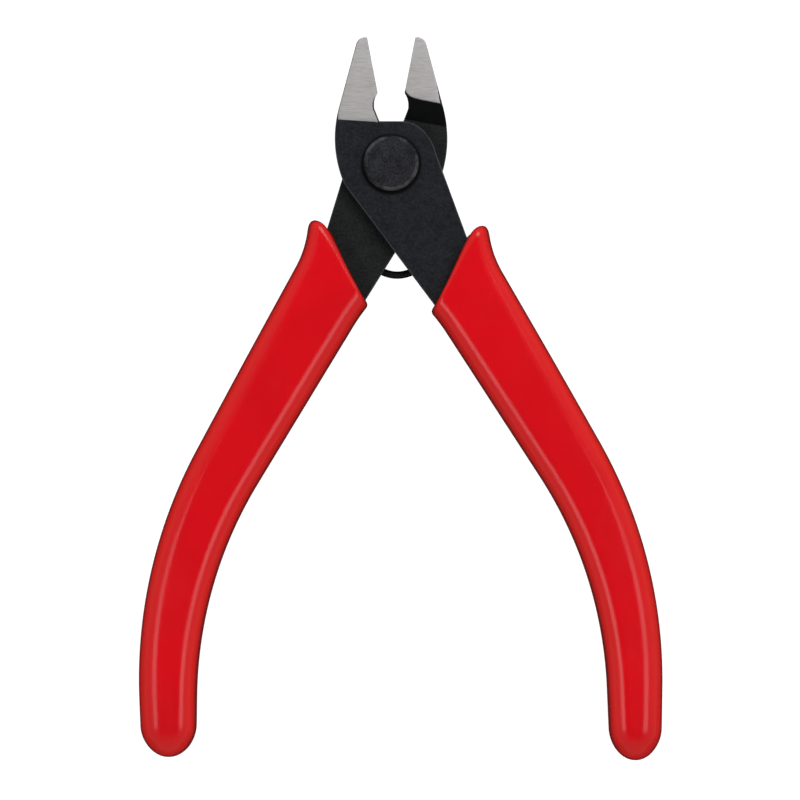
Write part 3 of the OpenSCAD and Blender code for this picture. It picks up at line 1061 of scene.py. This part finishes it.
@dataclass
class HairpinSpring:
    """The return spring: a bow below the rivet, two legs past it and a hook into each jaw's back."""

    lap: Lap
    finish: WireFinish
    name: str = "return_spring_wire"
    node: str = "return_spring"
    slot: str = "spring_wire"
    wire: float = 1.3 * MM
    gap: float = 0.1 * MM
    bow: float = 5.9 * MM
    bow_reach: float = 19.4 * MM
    bow_turn: float = 4.5
    anchor: tuple[float, float] = (4.9 * MM, 10.4 * MM)
    hook: float = 1.0 * MM
    peg_tops: tuple[float, float] = (0.0, 0.0)
    around: int = 28

    @property
    def level(self) -> float:
        """Height of the wire's middle."""
        return self.lap.back_z - self.gap - self.wire / 2

    def leg(self, sign: float, peg_top: float) -> tuple[np.ndarray, np.ndarray, float]:
        """One leg from the bow to the end of its peg.

        The leg leaves the bow where the line to the anchor is tangent to it. The hook is a quarter
        circle up from the leg's direction, and the peg stands straight.

        Args:
            sign: -1 for the left leg, 1 for the right.
            peg_top: Height of the peg's end.

        Returns:
            Points, the leg's heading in radians at each, and the bow's angle where it leaves.
        """
        centre = np.array([0.0, self.bow - self.bow_reach])
        shut = np.array([sign * self.anchor[0], self.anchor[1]])
        target = turn(shut, -sign * OPENING / 2 - math.radians(self.bow_turn))
        away = target - centre
        leave = math.atan2(away[1], away[0]) - sign * math.acos(self.bow / np.linalg.norm(away))
        start = centre + self.bow * np.array([math.cos(leave), math.sin(leave)])
        run = np.linalg.norm(target - start)
        ahead = (target - start) / run
        sine, cosine = sine_cosine(np.linspace(0.0, 90.0, 13))
        straight = np.linspace(0.0, run - self.hook, 60)[:-1]
        reach = np.concatenate([straight, run - self.hook + self.hook * sine, [run]])
        rise = np.concatenate([np.zeros(59), self.hook * (1 - cosine), [peg_top - self.level]])
        points = np.concatenate([start + reach[:, None] * ahead, self.level + rise[:, None]], axis=1)
        return points, np.full(len(points), math.atan2(ahead[1], ahead[0])), leave

    def path(self) -> tuple[np.ndarray, np.ndarray]:
        """The wire's middle line from the left peg round the bow to the right peg, with its heading.

        Returns:
            Points, and the heading in radians at each.
        """
        left, left_heading, first = self.leg(-1.0, self.peg_tops[0])
        right, right_heading, last = self.leg(1.0, self.peg_tops[1])
        a = np.linspace(first, last + 2 * np.pi, 72)[1:-1]
        centre = np.array([0.0, self.bow - self.bow_reach])
        round_bow = centre + self.bow * np.stack([np.cos(a), np.sin(a)], axis=1)
        bow = np.concatenate([round_bow, np.full((len(a), 1), self.level)], axis=1)
        points = np.vstack([left[::-1], bow, right])
        heading = np.concatenate([left_heading[::-1] + np.pi, a + np.pi / 2, right_heading])
        turned = turn(points, math.radians(self.bow_turn))
        return turned, heading + math.radians(self.bow_turn)

    def build(self) -> bpy.types.Object:
        """Carries a circle along the path: each ring lies across the way, with one axis kept level.

        Returns:
            The finished object.
        """
        points, heading = self.path()
        way = np.gradient(points, axis=0)
        way /= np.linalg.norm(way, axis=1, keepdims=True)
        level = np.stack([-np.sin(heading), np.cos(heading), np.zeros_like(heading)], axis=1)
        across = np.cross(way, level)
        across /= np.linalg.norm(across, axis=1, keepdims=True)
        a = np.linspace(0.0, 2 * np.pi, self.around, endpoint=False)[None, :, None]
        grid = points[:, None] + self.wire / 2 * (level[:, None] * np.cos(a) + across[:, None] * np.sin(a))
        piece = Surface.from_rings(grid, {}).build(self.name)
        self.map_wire(piece, points)
        self.finish.build().dress(piece)
        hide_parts(self.node)
        span = 0.6 * self.bow
        start, end = (-span, 0.0, self.level), (span, 0.0, self.level)
        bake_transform(piece)
        return piece

    def map_wire(self, piece: bpy.types.Object, points: np.ndarray) -> None:
        """Lays a map on the wire: U round it from 0 to 1, V along it in centimetres.

        Args:
            piece: The wire's object.
            points: The wire's middle line.
        """
        along = lengths(points) * 100
        u, v = np.meshgrid(np.arange(self.around) / self.around, along)
        ends = [[0.5, along[0]], [0.5, along[-1]]]
        table = np.vstack([np.stack([u, v], axis=2).reshape(-1, 2), ends])
        mesh = piece.data
        corner = np.zeros(len(mesh.loops), np.int32)
        mesh.loops.foreach_get("vertex_index", corner)
        mesh.uv_layers.new(name="wire").data.foreach_set("uv", table[corner].astype(np.float32).ravel())


# ---- sleeves ---------------------------------------------------------------------------------------


@dataclass
class Sleeve:
    """A moulded handle sleeve: slanted mouth with a rolled lip, finger guard, body and domed end."""

    name: str
    node: str
    half: Half
    axis: HandleAxis
    finish: SleeveFinish
    lap: Lap
    mouth: float
    length: float
    end_width: float
    slot: str = "red_sleeve"
    thickness: float = 9.2 * MM
    # mouth, with the finger guard at its outer corner and a flick at its inner one
    mouth_width: float = 14.2 * MM
    mouth_rise: float = 8.2 * MM
    mouth_bow: float = 1.35 * MM
    mouth_fade: float = 26.0 * MM
    guard_out: float = 2.1 * MM
    guard_length: float = 8.7 * MM
    guard_fall: float = 0.8 * MM
    guard_share: float = 0.22
    corner_out: float = 0.4 * MM
    corner_length: float = 5.0 * MM
    # section, lip, end and the band of painted shade round the walls' middle
    shoulder: float = 3.6 * MM
    lip: float = 1.1 * MM
    dome: float = 8.0 * MM
    dome_power: float = 2.4
    end_round: float = 5.6 * MM
    dish: float = 0.25 * MM
    wall_shade_height: float = 0.45 * MM
    # rings over the dish, lip, body and dome, and points round a corner and along a flat
    rings: tuple[int, int, int, int] = (8, 12, 170, 40)
    corner_steps: int = 14
    flat_steps: int = 10

    def half_width(self, s: np.ndarray) -> np.ndarray:
        """Half the sleeve's width, which tapers evenly from the mouth to the end."""
        return (self.mouth_width + (self.end_width - self.mouth_width) * (s - self.mouth) / self.length) / 2

    def fade(self, s: np.ndarray) -> np.ndarray:
        """1 at the mouth, falling as a square to 0 further along: the share of the mouth's slant."""
        return np.maximum(0.0, 1 - (s - self.mouth) / self.mouth_fade) ** 2

    def domed(self, s: np.ndarray, over: float, power: float) -> np.ndarray:
        """1 along the body, then (1 - u^p)^(1/p), with u from 0 to 1 over the last part of the length."""
        u = np.clip((s - self.mouth - self.length + over) / over, 0.0, 1.0)
        return (1 - u**power) ** (1 / power)

    def mouth_fall(self, f: np.ndarray) -> np.ndarray:
        """How far the mouth's edge falls at the share f of its width: a quarter of an ellipse."""
        u = np.clip(1 - (1 - f) / self.guard_share, 0.0, 1.0)
        return self.guard_fall * (1 - np.sqrt(1 - u**2))

    def section(self) -> tuple[np.ndarray, ...]:
        """The signs and the sine and cosine of each place round a rounded rectangle, and its flats' share.

        A flat's points keep the corner's angle and move from one corner's centre to the next.

        Returns:
            Share across from -1 to 1 and up from -1 to 1 of the corners' centres, cosine and sine.
        """
        steps = np.linspace(0.0, 90.0, self.corner_steps + 1)
        flat = np.linspace(0.0, 1.0, self.flat_steps + 1)[1:-1]
        signs = [(1.0, 1.0), (-1.0, 1.0), (-1.0, -1.0), (1.0, -1.0)]
        across, up, angle = [], [], []
        for q, (sx, sz) in enumerate(signs):
            nx, nz = signs[(q + 1) % 4]
            across += [np.full(len(steps), sx), sx + (nx - sx) * flat]
            up += [np.full(len(steps), sz), sz + (nz - sz) * flat]
            angle += [90 * q + steps, np.full(len(flat), 90.0 * (q + 1))]
        sine, cosine = sine_cosine(np.concatenate(angle))
        return np.concatenate(across), np.concatenate(up), cosine, sine

    def skin(self, s: np.ndarray, inset: np.ndarray) -> np.ndarray:
        """Rings round the sleeve.

        The inner side stands half a width from the axis plus the corner's flare. The outer side is read
        further forward by the mouth's rise times the fade, and carries the guard's flare. Between them
        lies a rounded rectangle, pushed forward by the bow times the sine of a half turn of the square
        of the way across, less the mouth's fall near the outer side. The end is an ellipse seen from the
        front and a blunter curve seen from the side.

        Args:
            s: Place of each ring along the inner side.
            inset: How far each ring lies inside the skin.

        Returns:
            Points as (ring, place, 3) of the half as drawn, with z = 0 at the lapped faces.
        """
        shrink, fade = self.domed(s, self.end_round, 2.0), self.fade(s)
        outer_s = s - self.mouth_rise * fade
        above = self.mouth - self.mouth_rise + self.guard_length - outer_s
        flare = np.clip(above / self.guard_length, 0, 1) ** 2
        flick = np.maximum(0.0, 1 - (s - self.mouth) / self.corner_length) ** 2
        inner = shrink * (self.half_width(s) + self.corner_out * flick) - inset
        outer = shrink * (self.half_width(outer_s) + self.guard_out * flare) - inset
        a, b = self.axis.beside(s, -inner), self.axis.beside(outer_s, outer)
        wide = np.linalg.norm(b - a, axis=1)[:, None] / 2
        high = (self.domed(s, self.dome, self.dome_power) * self.thickness / 2 - inset)[:, None]
        r = np.minimum(np.minimum(self.shoulder, wide), high) * 0.999
        across, up, cosine, sine = self.section()
        x = across * (wide - r) + r * cosine
        z = up * (high - r) + r * sine
        f = (1 + x / np.maximum(wide, MERGE)) / 2
        p = a[:, None] + (b - a)[:, None] * f[..., None]
        bowed = self.mouth_bow * np.sin(np.pi * np.clip(f, 0, 1) ** 2) - self.mouth_fall(f)
        p[..., 1] += bowed * fade[:, None]
        return np.concatenate([p, z[..., None]], axis=2)

    def stations(self) -> tuple[np.ndarray, np.ndarray]:
        """Places and insets of the rings: the dished mouth, the lip's quarter round, body and dome.

        Returns:
            How far along each ring stands, and how far inside the skin.
        """
        dish, lip, body, dome = self.rings
        a = np.linspace(0.0, 90.0, lip + 1)
        sine, cosine = sine_cosine(a)
        u = np.linspace(1.0, 0.0, dish + 1)[:-1]
        deep = self.lip + u * 0.55 * (self.thickness / 2 - self.lip)
        body_stop = self.length - self.dome
        sine_end, _ = sine_cosine(np.linspace(0.0, 89.0, dome + 1)[1:])
        s = np.concatenate([
            self.dish * smooth_step(u * 3),
            self.lip * (1 - cosine),
            np.linspace(self.lip, body_stop, body + 1)[1:],
            body_stop + self.dome * sine_end,
        ])
        inset = np.concatenate([deep, self.lip * (1 - sine), np.zeros(body + dome)])
        return self.mouth + s, inset

    def build(self) -> bpy.types.Object:
        """Lofts the rings and stores where the painted side tone and the band of painted shade go.

        Returns:
            The finished object.
        """
        s, inset = self.stations()
        grid = self.skin(s, inset)
        placed = stand_open(grid, self.half, self.lap.mid_z)
        _, _, cosine, _ = self.section()
        # painted light and shade: the side tone goes where the skin faces sideways, and on the lip and the
        # end
        side = np.abs(cosine)[None, :] * np.ones((len(s), 1))
        near_mouth = smooth_step(1 - (s - self.mouth) / (1.6 * self.lip))[:, None]
        past = s - self.mouth - self.length + 0.75 * self.dome
        near_end = smooth_step(past / (0.6 * self.dome))[:, None]
        side = np.maximum(side, np.maximum(near_mouth * 0.8, near_end * 0.7))
        # painted shade: a band round the middle of the upright walls
        seam = np.exp(-((grid[..., 2] / self.wall_shade_height) ** 2)) * (np.abs(cosine)[None, :] > 0.9)
        seam = seam * (inset < self.lip * 0.9)[:, None]
        piece = Surface.from_rings(placed, {"side": side, "seam": seam}).build(self.name)
        self.finish.build().dress(piece)
        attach(piece, self.half.value)
        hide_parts(self.node)
        return piece


# ---- studio ----------------------------------------------------------------------------------------


@dataclass
class SoftBox:
    """One rectangular soft light, aimed at a point on the bench: its first side lies level."""

    name: str
    place: tuple[float, float, float]
    size: tuple[float, float]
    radiance: float
    aim: tuple[float, float, float] = (0.0, -0.04, 0.0)

    def build(self) -> bpy.types.Object:
        """Makes the light: its power is radiance times pi times area.

        Returns:
            The light's object.
        """
        data = bpy.data.lights.new(self.name, "AREA")
        data.shape = "RECTANGLE"
        data.size, data.size_y = self.size
        data.energy = self.radiance * math.pi * self.size[0] * self.size[1]
        lamp = add_object(self.name, data)
        lamp.location = self.place
        lamp.rotation_euler = (Vector(self.aim) - lamp.location).to_track_quat("-Z", "Y").to_euler()
        return lamp


@dataclass
class Studio:
    """Long-lens camera straight above the bench, a white board and a soft tent that is dim overhead."""

    centre: tuple[float, float] = (1.54 * MM, -41.3 * MM)
    across: float = 140.0 * MM
    plane: float = 4.6 * MM
    lens: float = 200.0
    sensor: float = 36.0
    board: float = 4.0
    board_drop: float = 0.02 * MM
    sky: float = 0.40
    overhead: float = 0.03
    horizon: float = 0.50
    below: float = 0.02

    def camera(self) -> None:
        """Hangs the camera where the frame's width just covers the view at the sleeves' mid height."""
        data = bpy.data.cameras.new("camera")
        data.lens, data.sensor_width = self.lens, self.sensor
        data.clip_start, data.clip_end = 0.01, 20.0
        eye = add_object("camera", data)
        eye.location = (*self.centre, self.plane + self.across * self.lens / self.sensor)
        bpy.context.scene.camera = eye

    def floor(self) -> None:
        """Lays the board, a hair below the bench plane so that it never fights the sleeves' undersides."""
        h, z = self.board / 2, -self.board_drop
        mesh = bpy.data.meshes.new("board")
        mesh.from_pydata([(-h, -h, z), (h, -h, z), (h, h, z), (-h, h, z)], [], [(0, 1, 2, 3)])
        board = add_object("board", mesh)
        FloorFinish().build().dress(board)
        # glossy sides mirror the dark room below the board, so that every outline stays crisp
        board.visible_glossy = False

    def tent(self) -> None:
        """World light by elevation: dim straight up, bright round the shoulder, softer at the horizon."""
        world = bpy.data.worlds.new("tent")
        graph = Graph(world)
        rise = graph.part(graph.node("ShaderNodeTexCoord", {}, {}, "Generated"), "Z")
        walls = [(0.0, self.below), (0.02, self.horizon), (0.45, self.sky)]
        roof = [(0.75, self.sky), (0.90, self.overhead)]
        light = graph.node("ShaderNodeValToRGB", {"stops": walls + roof}, {0: rise})
        glow = graph.node("ShaderNodeBackground", {}, {0: light})
        graph.node("ShaderNodeOutputWorld", {}, {0: glow})
        bpy.context.scene.world = world

    def build(self) -> None:
        """Makes the floor and lights, and shows colours as they are."""
        self.floor()
        self.tent()
        for box in (
            SoftBox("left_strip", (-0.24, -0.14, 0.42), (0.26, 0.17), 2.3, (-0.02, -0.115, 0.0)),
            SoftBox("right_strip", (0.215, -0.14, 0.42), (0.26, 0.17), 2.3, (0.02, -0.115, 0.0)),
            SoftBox("tip_light", (0.10, 0.34, 0.44), (0.50, 0.28), 3.8),
        ):
            box.build()
        bpy.context.scene.view_settings.view_transform = "Standard"


# ---- the tool --------------------------------------------------------------------------------------


@dataclass
class FlushCutter:
    """The whole tool, built piece by piece from shared sizes."""

    lap: Lap
    right: HandleAxis = HandleAxis(20.5, -0.15 * MM)
    left: HandleAxis = HandleAxis(18.95, -1.4 * MM)
    right_mouth: float = 25.3 * MM
    left_mouth: float = 23.0 * MM
    right_length: float = 89.8 * MM
    left_length: float = 89.8 * MM
    end_wall: float = 14.0 * MM

    def halves(self) -> list[SteelHalf]:
        """The two steel halves with their own leans and finishes.

        Returns:
            The front half and the rear half.
        """
        front = SteelFinish("black_steel_front", (0.0138, 0.0147, 0.0180), 4.8 * MM)
        rear = SteelFinish("black_steel_rear", (0.0130, 0.0143, 0.0145), 4.0 * MM)
        return [
            SteelHalf(
                "front_half_steel", "front_blade", Half.FRONT, front, self.lap, self.right,
                outer_lean=9.4, outer_distance=7.95 * MM, inner_lean=26.0,
                tang_end=self.right_mouth + self.right_length - self.end_wall,
                side_fall=0.22 * MM, side_fall_width=0.35 * MM,
            ),
            SteelHalf(
                "rear_half_steel", "rear_blade", Half.REAR, rear, self.lap, self.left,
                outer_lean=6.1, outer_distance=7.45 * MM, inner_lean=21.1,
                tang_end=self.left_mouth + self.left_length - self.end_wall,
                side_fall=0.6 * MM, side_fall_width=1.0 * MM,
            ),
        ]

    def sleeves(self) -> list[Sleeve]:
        """The two sleeves, each on its own handle's axis.

        Returns:
            The right sleeve and the left sleeve.
        """
        return [
            Sleeve(
                "right_sleeve_moulded", "right_grip", Half.FRONT, self.right,
                SleeveFinish("red_vinyl_right"), self.lap,
                mouth=self.right_mouth, length=self.right_length, end_width=8.9 * MM,
            ),
            Sleeve(
                "left_sleeve_moulded", "left_grip", Half.REAR, self.left,
                SleeveFinish("red_vinyl_left"), self.lap,
                mouth=self.left_mouth, length=self.left_length, end_width=9.5 * MM,
            ),
        ]

    def spring(self) -> HairpinSpring:
        """The spring, with its pegs' tops just inside each jaw."""
        pegs = (self.lap.mid_z + 0.8 * MM, self.lap.mid_z + 0.4 * MM)
        return HairpinSpring(self.lap, WireFinish(), peg_tops=pegs)

    def build(self) -> None:
        """Builds every piece in order and reports it."""
        for part in (*self.halves(), Rivet(self.lap, RivetFinish()), self.spring(), *self.sleeves()):
            piece = part.build()
            log.info("%s stands for %s", piece.name, part.node)


def main() -> None:
    """Builds the studio and the tool."""
    logging.basicConfig(level=logging.INFO, format="%(name)s: %(message)s")
    studio = Studio()
    studio.camera()
    FlushCutter(Lap()).build()
    studio.build()


if __name__ == "__main__":
    main()
